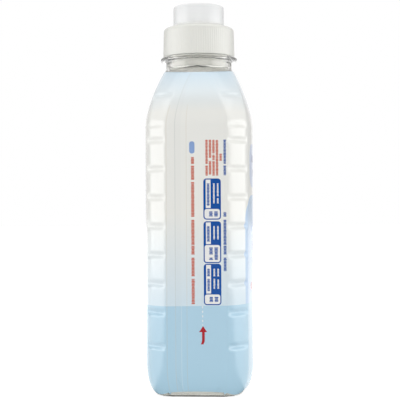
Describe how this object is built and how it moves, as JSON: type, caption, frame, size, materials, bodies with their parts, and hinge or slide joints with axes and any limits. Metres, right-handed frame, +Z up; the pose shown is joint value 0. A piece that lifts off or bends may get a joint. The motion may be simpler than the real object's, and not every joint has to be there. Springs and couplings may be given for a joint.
{
  "type": "fabric softener bottle",
  "caption": "Clear blow-moulded bottle with ribbed corners, a full printed shrink sleeve and a two-tier screw cap that doubles as a dosing cup.",
  "frame": {"origin": "under the middle of the base, on the plane that the bottle stands on", "axes": "+Z up through the neck and cap, the broad front label panel faces -Y, the narrow sides face +X and -X"},
  "size_m": [0.082, 0.0702, 0.25],
  "materials": {
    "clear_pet": "clear, glossy",
    "printed_film": "satin film, white fading to light blue",
    "white_pp": "satin, slightly translucent",
    "softener": "opaque milky liquid"
  },
  "bodies": {
    "bottle": {"bottle": "clear_pet", "shrink_sleeve": "printed_film", "softener": "softener"},
    "cap": {"cap": "white_pp"}
  },
  "joints": [
    {"name": "cap_lift", "type": "slide", "parent": "bottle", "child": "cap", "axis": [0, 0, 1], "range_m": [0, 0.06]}
  ]
}
